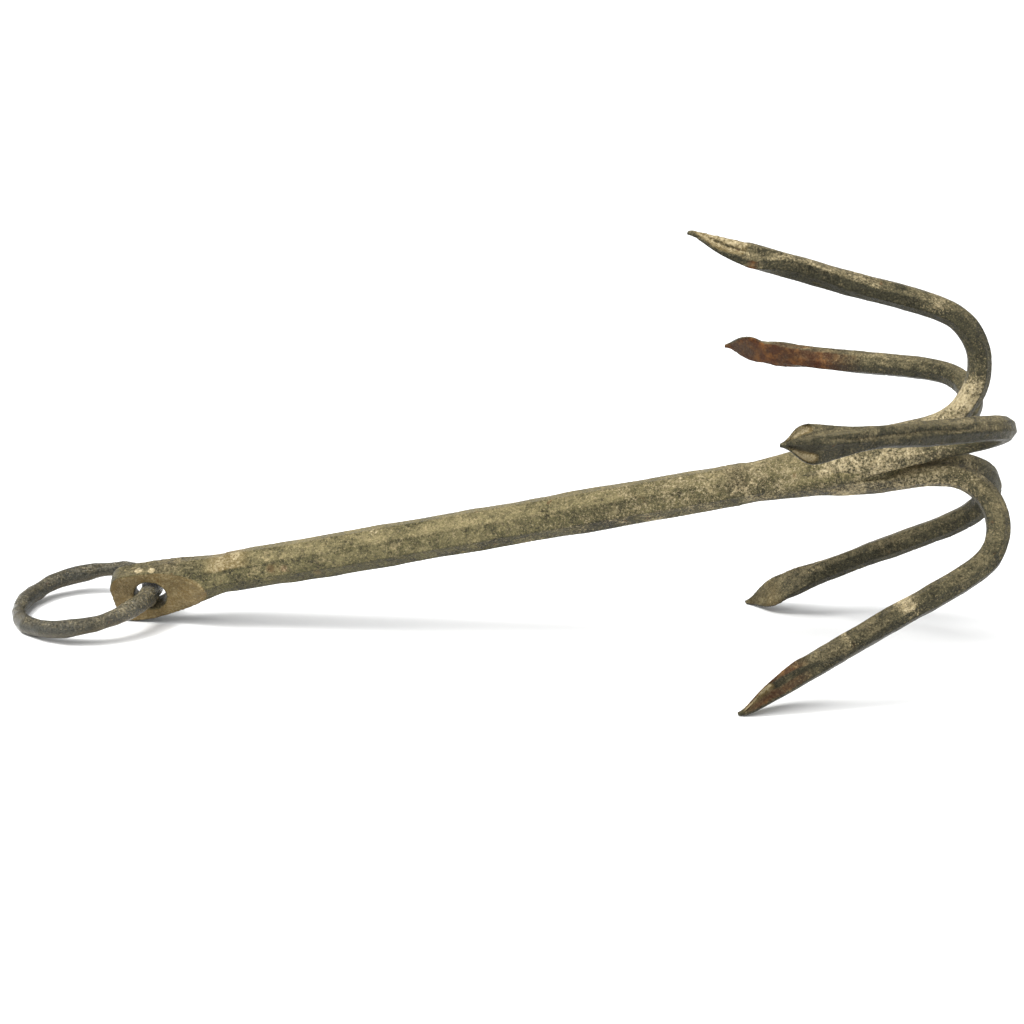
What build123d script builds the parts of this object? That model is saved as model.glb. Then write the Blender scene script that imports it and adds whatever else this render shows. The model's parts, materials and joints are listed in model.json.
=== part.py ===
"""A hand-forged five-arm grapnel anchor, lying on a surface.

Seven forged pieces: a shank with a flattened eye, the ring through the eye, and five arms,
each drawn out into its own palm, whose scarfed roots are welded round the tapered end of
the shank.

Every piece is drawn in the shank's frame: X runs along the shank from the middle of the
eye's hole towards the crown, and a clock angle goes round X from +Z (0) towards +Y (90).
At the end the anchor is laid down on its two lower bills and the edge of its eye, with the
origin under the middle of its box.
"""
from build123d import *
from collections import namedtuple
from math import asin, atan2, cos, hypot, pi, radians, sin, tan
import os

# Shank: an octagonal bar, flattened at one end to an eye and tapered at the other.
SHANK_FLATS = 24.2           # across the flats of the bar
SHANK_BAR = 362.0            # from the hole to where the welded roots begin
SHANK_TAPER = 78.0           # length of the five-sided point inside the roots
SHANK_POINT = 3.2            # from the axis to the flats at the end of the point

# Ring: round stock bent to a circle and welded shut.
RING_WIRE = 9.8
RING_RADIUS = 41.0           # of the circle that its middle line makes
RING_LEAN = 3.7              # how far its near side hangs down, in degrees

# Eye: the bar's end is hammered out to a flat, nearly square-edged plate and punched. The
# plate and its hole sit a little below the bar's middle line.
EYE_CLOCK = -106.0           # the way that its front face looks
EYE_DROP = 2.7               # of the hole, towards the eye's lower edge
EYE_PLAY = 9.7               # the hole is wider than the ring's wire by this
EYE_WALL = 7.75              # metal beside the hole
EYE_LIP = 13.75              # metal between the hole and the end
EYE_THICKNESS = 13.0         # at the hole
EYE_END_THICKNESS = 11.5     # at the end of the eye
EYE_FACE = 34.0              # from the hole to the pointed end of each flat face
EYE_NECK = 38.0              # from the hole to where the bar is its own width again
EYE_CORNER = 11.0            # radius of the two end corners
EYE_SQUARE = 0.85            # how square its edges are: the bar is 0 and a sawn plate is 1
EYE_HOLE_WEAR = 1.5          # rounding of the hole's two mouths

# Arms: every one of octagonal stock, bent in one plane.
ARM_FLATS = 13.6             # across the flats of the stock
SCARF_LIP = 1.1              # thickness of a root where it begins, on top of its flat
ROOT_PROUD = 0.9             # how far the roots stand out of the bar's flats, where they begin
ROOT_OUT = 8.3               # from the axis to the middle of a root, where the roots begin
HOLLOW = 7.4                 # from the axis to the inside of the arms, where the bends begin
PALM_EDGE = 2.2              # thickness of a palm along its edge
BILL_WIDTH = 2.2             # of the blunt point

# One row for each arm: node, clock angle, radius of the bend's middle line, its reach past
# the bar, angle of the straight shaft to the shank, length of the shaft from the bend to
# the bill, width and length of the palm, and how far the palm is off the shaft's middle line.
Arm = namedtuple(
    "Arm", "node clock bend reach shaft_angle shaft palm_width palm_length palm_shift")
ARMS = [
    Arm("top_arm", 0.0, 38.0, 149.7, 26.3, 152.0, 20.0, 37.0, 0.0),
    Arm("far_upper_arm", 71.5, 36.5, 150.3, 27.4, 135.5, 19.5, 38.0, 2.7),
    Arm("far_lower_arm", 142.5, 37.8, 152.8, 21.3, 143.0, 20.5, 38.0, -2.4),
    Arm("near_lower_arm", 219.5, 33.0, 144.3, 21.3, 160.0, 19.5, 42.0, 0.0),
    Arm("near_upper_arm", 295.5, 30.0, 151.3, 35.0, 149.0, 22.0, 38.0, 0.0),
]
LOWER_ARMS = ("far_lower_arm", "near_lower_arm")    # the anchor lies on the bills of these

# Stations along a palm, from the bill to the bar. Each has its distance from the bill, in
# palm lengths; its half width, in half palm widths; the height of its inner face and of its
# rib over the inner side of the bar, in bar thicknesses; and the half width of the rib's
# foot and of its top, in half bar thicknesses.
Station = namedtuple("Station", "place spread face rib foot top")
PALM_STATIONS = [
    Station(0.13, 0.28, 0.60, 0.92, 0.26, 0.12),
    Station(0.33, 0.68, 0.45, 0.96, 0.42, 0.20),
    Station(0.58, 0.98, 0.28, 0.98, 0.58, 0.30),
    Station(0.82, 0.96, 0.14, 1.00, 0.70, 0.38),
    Station(1.08, 0.82, 0.04, 1.00, 0.74, 0.41),
]
BILL_FACE = 0.60             # height of the bill over the bar's inner side, in thicknesses
NECK_PLACE = 1.45            # where the palm has become the bar, in palm lengths
SHOULDER_PLACE = 0.6         # where the palm's edge begins to thicken, in palm lengths

BEND_SECTIONS = 7
TRIM = 400.0                 # size of the blocks that trim a piece, larger than any piece
EIGHTH = 22.5                # half of an octagon's turn from flat to flat, in degrees

BAR_WIDTH = SHANK_FLATS / cos(radians(EIGHTH))    # of the shank, from corner to corner
EYE_HOLE = RING_WIRE + EYE_PLAY                   # bore of the hole
EYE_WIDTH = EYE_HOLE + 2 * EYE_WALL               # at the hole
EYE_END = EYE_HOLE / 2 + EYE_LIP                  # from the hole to the end of the eye
BUNDLE_RADIUS = SHANK_FLATS / 2 + ROOT_PROUD      # outside of the welded roots
HOLLOW_OUT = HOLLOW + ARM_FLATS / 2               # to the middle of the bar, where it bends


def clock_direction(clock):
    return Vector(0, sin(radians(clock)), cos(radians(clock)))


# ------------------------------------------------------------------------------- arms

class ArmLine:
    """The middle line of an arm: a straight root, a bend of one radius, a straight shaft.

    It is drawn in the arm's own plane, along the shank and out from it.
    """

    def __init__(self, arm):
        self.bend = arm.bend
        self.centre = (SHANK_BAR + arm.reach - arm.bend, HOLLOW_OUT + arm.bend)
        along = self.centre[0] - SHANK_BAR
        out = self.centre[1] - ROOT_OUT
        span = hypot(along, out)
        self.splay = atan2(out, along) - asin(arm.bend / span)
        self.turn = pi - radians(arm.shaft_angle) - self.splay
        self.bend_start = (span ** 2 - arm.bend ** 2) ** 0.5
        self.bend_end = self.bend_start + arm.bend * self.turn
        self.length = self.bend_end + arm.shaft
        self.side = clock_direction(arm.clock)

    def at(self, travel):
        """How far along the shank, how far out, and which way the line is heading."""
        turned = min(max((travel - self.bend_start) / self.bend, 0.0), self.turn)
        heading = self.splay + turned
        straight = min(travel - self.bend_start, 0.0) + max(travel - self.bend_end, 0.0)
        along = self.centre[0] + self.bend * sin(heading) + straight * cos(heading)
        out = self.centre[1] - self.bend * cos(heading) + straight * sin(heading)
        return along, out, heading

    def plane(self, travel, shift=0.0):
        """The plane across the line, shifted sideways. Its Y looks to the outside of the hook."""
        along, out, heading = self.at(travel)
        ahead = Vector(cos(heading), 0, 0) + self.side * sin(heading)
        outside = Vector(sin(heading), 0, 0) - self.side * cos(heading)
        place = Vector(along, 0, 0) + self.side * out
        sideways = outside.cross(ahead)
        return Plane(place + sideways * shift, x_dir=sideways, z_dir=ahead)


def bar_outline():
    """Half an octagon, with one point more on the chamfer that becomes a palm's hollow."""
    half = ARM_FLATS / 2
    corner = half * tan(radians(EIGHTH))
    middle = (half + corner) / 2
    return [(corner, -half), (half, -corner), (half, corner), (middle, middle), (corner, half)]


def root_outline(out, outer, inner, wedge):
    """Half a wedge of the welded bundle, for a middle line that is out from the axis."""
    middle = (outer + inner) / 2
    corners = [(outer, wedge / 3), (outer, wedge), (middle, wedge)]
    corners += [((middle + inner) / 2, wedge), (inner, wedge * 0.8)]
    return [(radius * sin(radians(turn)), out - radius * cos(radians(turn)))
            for radius, turn in corners]


def palm_outline(arm, station):
    """Half a palm: flat inside, thin at the edge, hollow beside a rib on the outside."""
    half = ARM_FLATS / 2
    face = station.face * ARM_FLATS - half
    wide = station.spread * arm.palm_width / 2
    edge = face + PALM_EDGE + max(0.0, station.place - SHOULDER_PLACE) * half
    rib = station.rib * ARM_FLATS - half
    foot = edge + (rib - edge) / 3
    return [(wide / 2, face), (wide, face + PALM_EDGE / 6), (wide, edge),
            (station.foot * half, foot), (station.top * half, rib)]


def bill_outline():
    face = (BILL_FACE - 0.5) * ARM_FLATS
    half = BILL_WIDTH / 2
    rises = [0.0, 0.15, 0.6, 0.85, 1.0]
    spreads = [0.5, 1.0, 1.0, 0.8, 0.4]
    return [(half * spread, face + PALM_EDGE * rise) for spread, rise in zip(spreads, rises)]


def mirrored_face(plane, half):
    """A face from half its outline, which runs from the inside of the hook to the outside."""
    outline = half + [(-across, up) for across, up in reversed(half)]
    return plane * Polygon(*outline, align=None)


def forged_arm(arm):
    """An arm before its root is trimmed: the root is a wedge wider than its share."""
    line = ArmLine(arm)
    faces = []
    root_stations = [
        (-4.0, BUNDLE_RADIUS, 8.5, 42.0),
        (SHANK_TAPER * 0.3, BUNDLE_RADIUS + 0.9, 6.0, 42.0),
        (SHANK_TAPER * 0.65, BUNDLE_RADIUS + 3.2, 4.0, 40.0),
        (SHANK_TAPER, HOLLOW_OUT + ARM_FLATS / 2 - 1.6, SHANK_POINT - 0.4, 32.0),
    ]
    for travel, outer, inner, wedge in root_stations:
        half = root_outline(line.at(travel)[1], outer, inner, wedge)
        faces.append(mirrored_face(line.plane(travel), half))
    neck = line.length - NECK_PLACE * arm.palm_length
    bar_travels = [line.bend_start + (line.bend_end - line.bend_start) * step / BEND_SECTIONS
                   for step in range(BEND_SECTIONS + 1)]
    for travel in bar_travels + [(line.bend_end + neck) / 2, neck]:
        faces.append(mirrored_face(line.plane(travel), bar_outline()))
    for station in reversed(PALM_STATIONS):
        travel = line.length - station.place * arm.palm_length
        plane = line.plane(travel, arm.palm_shift * station.spread)
        faces.append(mirrored_face(plane, palm_outline(arm, station)))
    faces.append(mirrored_face(line.plane(line.length), bill_outline()))
    return loft(faces)


def half_space(point, outwards):
    """A large block on the side of a plane that outwards points to."""
    block = Box(TRIM, TRIM, TRIM, align=(Align.CENTER, Align.CENTER, Align.MIN))
    return Plane(point, z_dir=outwards) * block


def taper_flat(clock):
    """The flat on the shank's point that an arm's root lies on, as a point and a normal."""
    start = BUNDLE_RADIUS - SCARF_LIP
    slope = (start - SHANK_POINT) / SHANK_TAPER
    normal = clock_direction(clock) + Vector(slope, 0, 0)
    return Vector(SHANK_BAR, 0, 0) + clock_direction(clock) * start, normal.normalized()


def make_arm(arm, clock_before, clock_after):
    """An arm whose root meets its neighbours halfway and lies on its flat of the shank."""
    bar_end = Vector(SHANK_BAR, 0, 0)
    shank_end = Vector(SHANK_BAR + SHANK_TAPER, 0, 0)
    point, normal = taper_flat(arm.clock)
    solid = forged_arm(arm)
    solid -= half_space(bar_end, clock_direction((arm.clock + clock_after) / 2 + 90))
    solid -= half_space(bar_end, clock_direction((arm.clock + clock_before) / 2 - 90))
    solid -= Plane(bar_end, z_dir=(-1, 0, 0)) * Cylinder(
        BUNDLE_RADIUS * 2, SHANK_TAPER, align=(Align.CENTER, Align.CENTER, Align.MIN))
    solid -= half_space(point, -normal) & half_space(shank_end, Vector(-1, 0, 0))
    return solid.solid()


# ------------------------------------------------------------------------------ shank

def eye_plane():
    """The eye's plane at the hole: X along the shank, Y to the eye's upper edge."""
    plane = Plane((0, 0, 0), x_dir=(1, 0, 0), z_dir=clock_direction(EYE_CLOCK))
    return Plane(plane.y_dir * -EYE_DROP, x_dir=plane.x_dir, z_dir=plane.z_dir)


def octagon(place, width=BAR_WIDTH, square=0.0, drop=0.0):
    """A section of the shank: the bar's octagon has a corner on the middle of each eye face."""
    eye = eye_plane()
    corner = sin(radians(2 * EIGHTH))
    side = corner + (1 - corner) * square
    deep = BAR_WIDTH / 2
    quarter = [(0, deep), (width / 2 * side, deep * corner), (width / 2, 0)]
    upper = quarter + [(across, -up) for across, up in quarter[1::-1]]
    outline = upper + [(-across, up) for across, up in upper[3:0:-1]]
    plane = Plane(Vector(place, 0, 0) - eye.y_dir * drop, x_dir=eye.y_dir, z_dir=(1, 0, 0))
    return plane * Polygon(*outline, align=None)


def eye_blank():
    """The bar's end spread to the eye's width, before its two sides are hammered flat."""
    halfway = (EYE_WIDTH * 0.66 + BAR_WIDTH * 0.34, EYE_SQUARE * 0.5, EYE_DROP * 0.6)
    return loft([
        octagon(-EYE_END - EYE_CORNER, EYE_WIDTH * 0.96, EYE_SQUARE, EYE_DROP),
        octagon(0, EYE_WIDTH, EYE_SQUARE, EYE_DROP),
        octagon(EYE_NECK / 2, *halfway),
        octagon(EYE_NECK),
        octagon(EYE_NECK * 1.5),
    ])


def between_faces():
    """The space between the two hammered faces: they open from the eye's end to the bar."""
    bar = BAR_WIDTH / 2
    end, hole = EYE_END_THICKNESS / 2, EYE_THICKNESS / 2
    middle = (EYE_FACE / 2, hole + (bar - hole) * 0.3)
    front = [(-EYE_END - EYE_CORNER, end), (0, hole), middle, (EYE_FACE, bar)]
    back = [(along, -up) for along, up in reversed(front)]
    far = EYE_NECK * 1.6
    plane = Plane((0, 0, 0), x_dir=(1, 0, 0), z_dir=-eye_plane().y_dir)
    with BuildSketch(plane) as side:
        with BuildLine():
            face = Spline(*front)
            Polyline(front[-1], (EYE_NECK, bar * 1.5), (far, bar * 1.5),
                     (far, -bar * 1.5), (EYE_NECK, -bar * 1.5), back[0])
            other = Spline(*back)
            Line(other @ 1, face @ 0)
        make_face()
    return extrude(side.sketch, amount=EYE_WIDTH, both=True)


def rounded_end():
    """A slab as long as the eye, with the radius of its two end corners."""
    slab = Rectangle(EYE_END + EYE_NECK * 1.6, EYE_WIDTH, align=(Align.MIN, Align.CENTER))
    ends = slab.vertices().sort_by(Axis.X)[:2]
    slab = fillet(ends, EYE_CORNER)
    return eye_plane() * Pos(-EYE_END, 0) * extrude(slab, amount=SHANK_FLATS, both=True)


def eye_hole():
    """The punched hole, with both of its mouths worn round."""
    hole = Cylinder(EYE_HOLE / 2, SHANK_FLATS * 2)
    mouth = Cone(EYE_HOLE / 2, EYE_HOLE / 2 + EYE_HOLE_WEAR, EYE_HOLE_WEAR)
    up = (EYE_THICKNESS - EYE_HOLE_WEAR) / 2
    hole += Pos(0, 0, up) * mouth
    hole += Pos(0, 0, -up) * Rot(180, 0, 0) * mouth
    return eye_plane() * hole


def make_shank():
    """The eye, the straight bar and the point that the five roots lie on."""
    eye = (eye_blank() & between_faces() & rounded_end()) - eye_hole()
    seam = EYE_NECK * 1.3
    eye -= half_space(Vector(seam, 0, 0), Vector(1, 0, 0))
    bar = extrude(octagon(seam), SHANK_BAR + SHANK_TAPER - seam, dir=(1, 0, 0))
    beyond_bar = half_space(Vector(SHANK_BAR, 0, 0), Vector(1, 0, 0))
    for arm in ARMS:
        point, normal = taper_flat(arm.clock)
        bar -= half_space(point, normal) & beyond_bar
    return (eye + bar).solid()


# ---------------------------------------------------------------- lying on the surface

def bill_point(arm):
    """The far end of an arm's bill."""
    line = ArmLine(arm)
    plane = line.plane(line.length)
    return plane.origin + plane.y_dir * ((BILL_FACE - 0.5) * ARM_FLATS + PALM_EDGE)


def eye_support(up):
    """The lowest point of the eye's rounded corner, for a given way up."""
    eye = eye_plane()
    side = -1 if eye.y_dir.dot(up) > 0 else 1
    middle = eye.x_dir * (EYE_CORNER - EYE_END) + eye.y_dir * (side * (EYE_WIDTH / 2 - EYE_CORNER))
    down = eye.x_dir * -eye.x_dir.dot(up) + eye.y_dir * -eye.y_dir.dot(up)
    face = EYE_END_THICKNESS / 2 * (-1 if eye.z_dir.dot(up) > 0 else 1)
    return eye.origin + middle + down.normalized() * EYE_CORNER + eye.z_dir * face


def surface_plane():
    """The plane that the anchor lies on: X under the shank, Z up."""
    first, second = [bill_point(arm) for arm in ARMS if arm.node in LOWER_ARMS]
    up = Vector(0, 0, 1)
    for _ in range(3):
        support = eye_support(up)
        normal = (first - support).cross(second - support).normalized()
        up = normal if normal.Z > 0 else -normal
    along = Vector(1, 0, 0) - up * up.X
    return Plane(support, x_dir=along, z_dir=up)


def make_ring(hole):
    """The ring, from the hole's place in the lying anchor down to the surface."""
    droop = asin((hole.Z - RING_WIRE / 2) / (2 * RING_RADIUS))
    towards = Vector(-cos(droop), 0, -sin(droop))
    face = Vector(-sin(droop), 0, cos(droop)).rotate(Axis((0, 0, 0), towards), -RING_LEAN)
    plane = Plane(hole + towards * RING_RADIUS, x_dir=towards, z_dir=face)
    return plane * Torus(RING_RADIUS, RING_WIRE / 2)


def build():
    """All the nodes, lying, with the origin under the middle of their box."""
    surface = surface_plane()
    lay = surface.location.inverse()
    nodes = {"shank": lay * make_shank()}
    clocks = [arm.clock for arm in ARMS]
    before = [clocks[-1] - 360] + clocks[:-1]
    after = clocks[1:] + [clocks[0] + 360]
    for arm, clock_before, clock_after in zip(ARMS, before, after):
        nodes[arm.node] = lay * make_arm(arm, clock_before, clock_after)
    hole = surface.to_local_coords(eye_plane().origin)
    nodes["ring"] = make_ring(hole)
    box = Compound(list(nodes.values())).bounding_box()
    centre = Vector(box.center().X, box.center().Y, box.min.Z)
    return {node: Pos(-centre) * solid for node, solid in nodes.items()}


if __name__ == "__main__":
    os.makedirs("parts", exist_ok=True)
    for node, solid in build().items():
        export_step(solid, f"parts/{node}.step")
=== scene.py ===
# %% [markdown]
# # A hand-forged grapnel anchor
#
# The object is seven forgings: a shank with a flattened eye, a ring, and five hooked arms
# welded round the crown. The CAD model already gives every piece its true size and place.
# This lesson gives them what forging, years of salt water and a dry shed gave the real one:
# hammer dents, soft arrises, pits, laps, a brown patina, tan dust, and rust.

# %% Load the CAD frame
import json
from collections import namedtuple
from math import asin, atan2, cos, exp, hypot, pi, radians, sin

import bmesh
import bpy
import numpy as np
from mathutils import Matrix, Vector


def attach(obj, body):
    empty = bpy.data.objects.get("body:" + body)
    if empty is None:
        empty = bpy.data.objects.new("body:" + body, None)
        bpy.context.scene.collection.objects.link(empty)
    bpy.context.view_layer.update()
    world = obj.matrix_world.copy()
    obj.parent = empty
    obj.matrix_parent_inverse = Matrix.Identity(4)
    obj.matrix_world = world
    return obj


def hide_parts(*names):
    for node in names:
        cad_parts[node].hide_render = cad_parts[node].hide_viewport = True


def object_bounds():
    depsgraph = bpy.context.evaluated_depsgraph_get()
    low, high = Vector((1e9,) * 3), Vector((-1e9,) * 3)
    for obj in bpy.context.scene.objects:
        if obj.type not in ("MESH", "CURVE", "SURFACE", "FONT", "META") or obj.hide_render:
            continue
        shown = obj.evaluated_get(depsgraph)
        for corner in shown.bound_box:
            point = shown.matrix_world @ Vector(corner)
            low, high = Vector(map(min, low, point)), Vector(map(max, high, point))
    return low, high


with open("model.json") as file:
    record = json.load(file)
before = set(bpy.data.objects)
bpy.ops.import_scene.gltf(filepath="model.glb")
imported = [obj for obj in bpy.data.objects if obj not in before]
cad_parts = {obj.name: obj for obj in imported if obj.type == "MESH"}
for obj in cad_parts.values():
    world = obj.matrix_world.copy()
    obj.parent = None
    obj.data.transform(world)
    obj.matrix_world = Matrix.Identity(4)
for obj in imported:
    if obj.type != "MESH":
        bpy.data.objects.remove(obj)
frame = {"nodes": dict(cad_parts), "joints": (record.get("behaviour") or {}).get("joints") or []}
cad_low, cad_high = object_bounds()
MM = 0.001
hinge = frame["joints"][0]
print("nodes:", sorted(frame["nodes"]))
print("box, mm:", [round(v / MM, 1) for v in cad_high - cad_low])

# %% [markdown]
# ## Camera first
# The camera looks slightly down on the lying anchor from its near side, with a long lens,
# and is rolled a little, so that the shank climbs to the right. Its place is kept as a vector
# from the middle of the CAD box, so it follows the model.

# %% Camera
CAMERA_FROM_MIDDLE = Vector((-0.0113, -1.1324, 0.3556))
CAMERA_AZIMUTH = radians(-0.62)
CAMERA_ELEVATION = radians(19.52)
CAMERA_ROLL = radians(3.45)
CAMERA_LENS = 70.3           # millimetres, on a 36 mm sensor

camera = bpy.data.objects.new("camera", bpy.data.cameras.new("camera"))
bpy.context.scene.collection.objects.link(camera)
bpy.context.scene.camera = camera
camera.data.lens = CAMERA_LENS
camera.data.sensor_width = 36.0
turned = Matrix.Rotation(CAMERA_AZIMUTH, 4, "Z")
tipped = Matrix.Rotation(pi / 2 - CAMERA_ELEVATION, 4, "X")
rolled = Matrix.Rotation(CAMERA_ROLL, 4, "Z")
place = Matrix.Translation((cad_low + cad_high) / 2 + CAMERA_FROM_MIDDLE)
camera.matrix_world = place @ turned @ tipped @ rolled
print("camera at", [round(v, 3) for v in camera.matrix_world.translation])

# %% [markdown]
# ## Floor
# The anchor lies on a plain pale floor.

# %% Floor
FLOOR_SIZE = 30.0
FLOOR_WHITE = (0.92, 0.92, 0.91, 1)
floor_mesh = bpy.data.meshes.new("floor")
half = FLOOR_SIZE / 2
floor_mesh.from_pydata([(-half, -half, 0), (half, -half, 0), (half, half, 0), (-half, half, 0)],
                       [], [(0, 1, 2, 3)])
floor = bpy.data.objects.new("floor", floor_mesh)
bpy.context.scene.collection.objects.link(floor)
floor_paint = bpy.data.materials.new("pale_floor")
floor_paint.use_nodes = True
floor_shader = floor_paint.node_tree.nodes["Principled BSDF"]
floor_shader.inputs["Base Color"].default_value = FLOOR_WHITE
floor_shader.inputs["Roughness"].default_value = 0.9
floor_shader.inputs["Specular IOR Level"].default_value = 0.1
floor_mesh.materials.append(floor_paint)
print("floor:", FLOOR_SIZE, "m square")

# %% [markdown]
# ## Light
# A bright, broad ceiling light makes the floor white and the upper facets of the iron
# lighter than the lower ones. It is a Sun light with a very wide angle, so its shadows are
# soft. One softbox at the left gives a streak on the ring and the arrises, and a pale world
# fills the rest. The plain Standard view keeps the finishes as dark as they are mixed.

# %% Lights
CEILING_ENERGY = 3.3
CEILING_ANGLE = radians(55)
CEILING_WAY = Vector((0.28, 0.42, -1.0))       # the way its light falls
SOFTBOX_SIZE = 0.5
SOFTBOX_ENERGY = 17.0
SOFTBOX_PLACE = (-0.9, -0.5, 1.3)
SOFTBOX_WAY = Vector((0.85, 0.5, -1.2))
WORLD_WHITE = (0.97, 0.98, 1.0, 1)
WORLD_STRENGTH = 0.55


def hang(light, way, place=(0, 0, 0)):
    """Puts a light at a place, shining a given way."""
    holder = bpy.data.objects.new(light.name, light)
    holder.location = place
    holder.rotation_euler = way.to_track_quat("-Z", "Y").to_euler()
    bpy.context.scene.collection.objects.link(holder)


ceiling = bpy.data.lights.new("ceiling", "SUN")
ceiling.energy = CEILING_ENERGY
ceiling.angle = CEILING_ANGLE
hang(ceiling, CEILING_WAY)

softbox = bpy.data.lights.new("softbox", "AREA")
softbox.shape = "DISK"
softbox.size = SOFTBOX_SIZE
softbox.energy = SOFTBOX_ENERGY
hang(softbox, SOFTBOX_WAY, SOFTBOX_PLACE)

world = bpy.data.worlds.new("studio")
world.use_nodes = True
world.node_tree.nodes["Background"].inputs["Color"].default_value = WORLD_WHITE
world.node_tree.nodes["Background"].inputs["Strength"].default_value = WORLD_STRENGTH
bpy.context.scene.world = world
bpy.context.scene.view_settings.view_transform = "Standard"
print("lights:", ceiling.name, softbox.name)

# %% [markdown]
# ## Where things are on the anchor
# Marks such as rust on one palm or dust in the welds belong to places on the iron. So every
# piece gets its own measure of place. On the shank it is the distance from the hole and the
# clock angle round the bar, where 0 is up and 90 degrees is away from the viewer. The
# hinge of the ring is the middle of the hole, so everything is measured from there.

# %% The shank's own directions
SHANK_SLOPE = radians(13.855)     # the shank climbs from the eye to the crown
EYE_CLOCK = radians(-106.0)       # the way that the eye's front face looks
EYE_DROP = 2.7 * MM               # the hole is this far below the shank's middle line
SHANK_BAR = 362.0 * MM            # from the hole to where the welded roots begin

along_shank = np.array([cos(SHANK_SLOPE), 0.0, sin(SHANK_SLOPE)])
clock_zero = np.array([-sin(SHANK_SLOPE), 0.0, cos(SHANK_SLOPE)])
clock_quarter = np.array([0.0, 1.0, 0.0])


def clock_direction(clock):
    """The direction out of the shank at a clock angle, in radians."""
    return clock_zero * cos(clock) + clock_quarter * sin(clock)


hole = np.array(hinge["pos_m"])
eye_normal = clock_direction(EYE_CLOCK)
eye_up = clock_direction(EYE_CLOCK + pi / 2)
shank_start = hole + eye_up * EYE_DROP
print("shank starts at, mm:", (shank_start / MM).round(1))

# %% [markdown]
# ## Where things are on an arm
# A place on an arm is the distance back from the bill, how far across the arm, and how far
# to the outside of the hook. The middle line is the smith's plan: a straight root, a bend of
# one radius, a straight shaft. Each point takes the nearest of the three, and unrolling
# them end to end gives one distance along the whole hook, so a mark can pass the bend.

# %% The arms' middle lines
Arm = namedtuple("Arm", "node clock bend reach shaft_angle shaft")
ARMS = [
    Arm("top_arm", radians(0.0), 38.0 * MM, 149.7 * MM, radians(26.3), 152.0 * MM),
    Arm("far_upper_arm", radians(71.5), 36.5 * MM, 150.3 * MM, radians(27.4), 135.5 * MM),
    Arm("far_lower_arm", radians(142.5), 37.8 * MM, 152.8 * MM, radians(21.3), 143.0 * MM),
    Arm("near_lower_arm", radians(219.5), 33.0 * MM, 144.3 * MM, radians(21.3), 160.0 * MM),
    Arm("near_upper_arm", radians(295.5), 30.0 * MM, 151.3 * MM, radians(35.0), 149.0 * MM),
]
ROOT_OUT = 8.3 * MM          # from the axis to the middle of a root, where the roots begin
BEND_OUT = 14.2 * MM         # from the axis to the middle line, where the bends begin


def arm_places(arm, points):
    """From the bill back, across, and to the outside of the hook, and the outside direction."""
    side = clock_direction(arm.clock)
    across_arm = np.cross(along_shank, side)
    centre = np.array([SHANK_BAR + arm.reach - arm.bend, BEND_OUT + arm.bend])
    span = hypot(centre[0] - SHANK_BAR, centre[1] - ROOT_OUT)
    first = atan2(centre[1] - ROOT_OUT, centre[0] - SHANK_BAR) - asin(arm.bend / span)
    last = pi - arm.shaft_angle
    root = (span ** 2 - arm.bend ** 2) ** 0.5
    offset = points - shank_start
    x = offset @ along_shank - centre[0]
    y = offset @ side - centre[1]
    root_out = x * sin(first) - y * cos(first) - arm.bend
    shaft_out = x * sin(last) - y * cos(last) - arm.bend
    on_root = (x * cos(first) + y * sin(first) < 0) & (abs(root_out) < abs(shaft_out))
    on_shaft = (x * cos(last) + y * sin(last) > 0) & ~on_root
    turn = np.arctan2(x, -y)
    turn = np.where(turn < 0, turn + 2 * pi, turn)
    heading = np.where(on_root, first, np.where(on_shaft, last, turn))
    straight = x * np.cos(heading) + y * np.sin(heading)
    travel = root + arm.bend * (heading - first) + straight
    length = root + arm.bend * (last - first) + arm.shaft
    outside = np.where(on_root, root_out, np.where(on_shaft, shaft_out, np.hypot(x, y) - arm.bend))
    out_way = np.outer(np.sin(heading), along_shank) - np.outer(np.cos(heading), side)
    return length - travel, offset @ across_arm, outside, out_way, across_arm


print("arms:", [arm.node for arm in ARMS])

# %% [markdown]
# ## Forged blanks
# The CAD surfaces are too exact: nothing a hammer made has a sharp, straight arris. Each
# piece starts as a copy of its CAD node, merged into one closed skin, remeshed into even
# small cells by a voxel remesh, and relaxed by a few rounds of smoothing, which rounds the
# arrises as the hammer and the rust did. Even cells also give the dents something to press.

# %% From a CAD node to a blank
def blank_of(node, cell, rounds, add_metal=None):
    """A closed, evenly meshed copy of a CAD node with softened edges."""
    mesh = frame["nodes"][node].data.copy()
    shell = bmesh.new()
    shell.from_mesh(mesh)
    bmesh.ops.remove_doubles(shell, verts=shell.verts, dist=1e-6)
    if add_metal:
        add_metal(shell)
    shell.to_mesh(mesh)
    shell.free()
    raw = bpy.data.objects.new(node + "_raw", mesh)
    bpy.context.scene.collection.objects.link(raw)
    remesh = raw.modifiers.new("even_cells", "REMESH")
    remesh.mode = "VOXEL"
    remesh.voxel_size = cell
    soften = raw.modifiers.new("soft_arrises", "SMOOTH")
    soften.iterations = rounds
    soften.factor = 0.5
    return plain(raw, node)


def plain(source, name):
    """The evaluated object as a plain mesh object, and the source removed."""
    view = source.evaluated_get(bpy.context.evaluated_depsgraph_get())
    mesh = bpy.data.meshes.new_from_object(view)
    bpy.data.objects.remove(source)
    mesh.name = name + "_forged"
    piece = bpy.data.objects.new(name + "_forged", mesh)
    bpy.context.scene.collection.objects.link(piece)
    return piece


def read(mesh, what):
    """A mesh's points or point normals as an array."""
    values = np.empty(len(mesh.vertices) * 3, np.float32)
    if what == "points":
        mesh.vertices.foreach_get("co", values)
    else:
        mesh.vertex_normals.foreach_get("vector", values)
    return values.reshape(-1, 3).astype(float)


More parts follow.
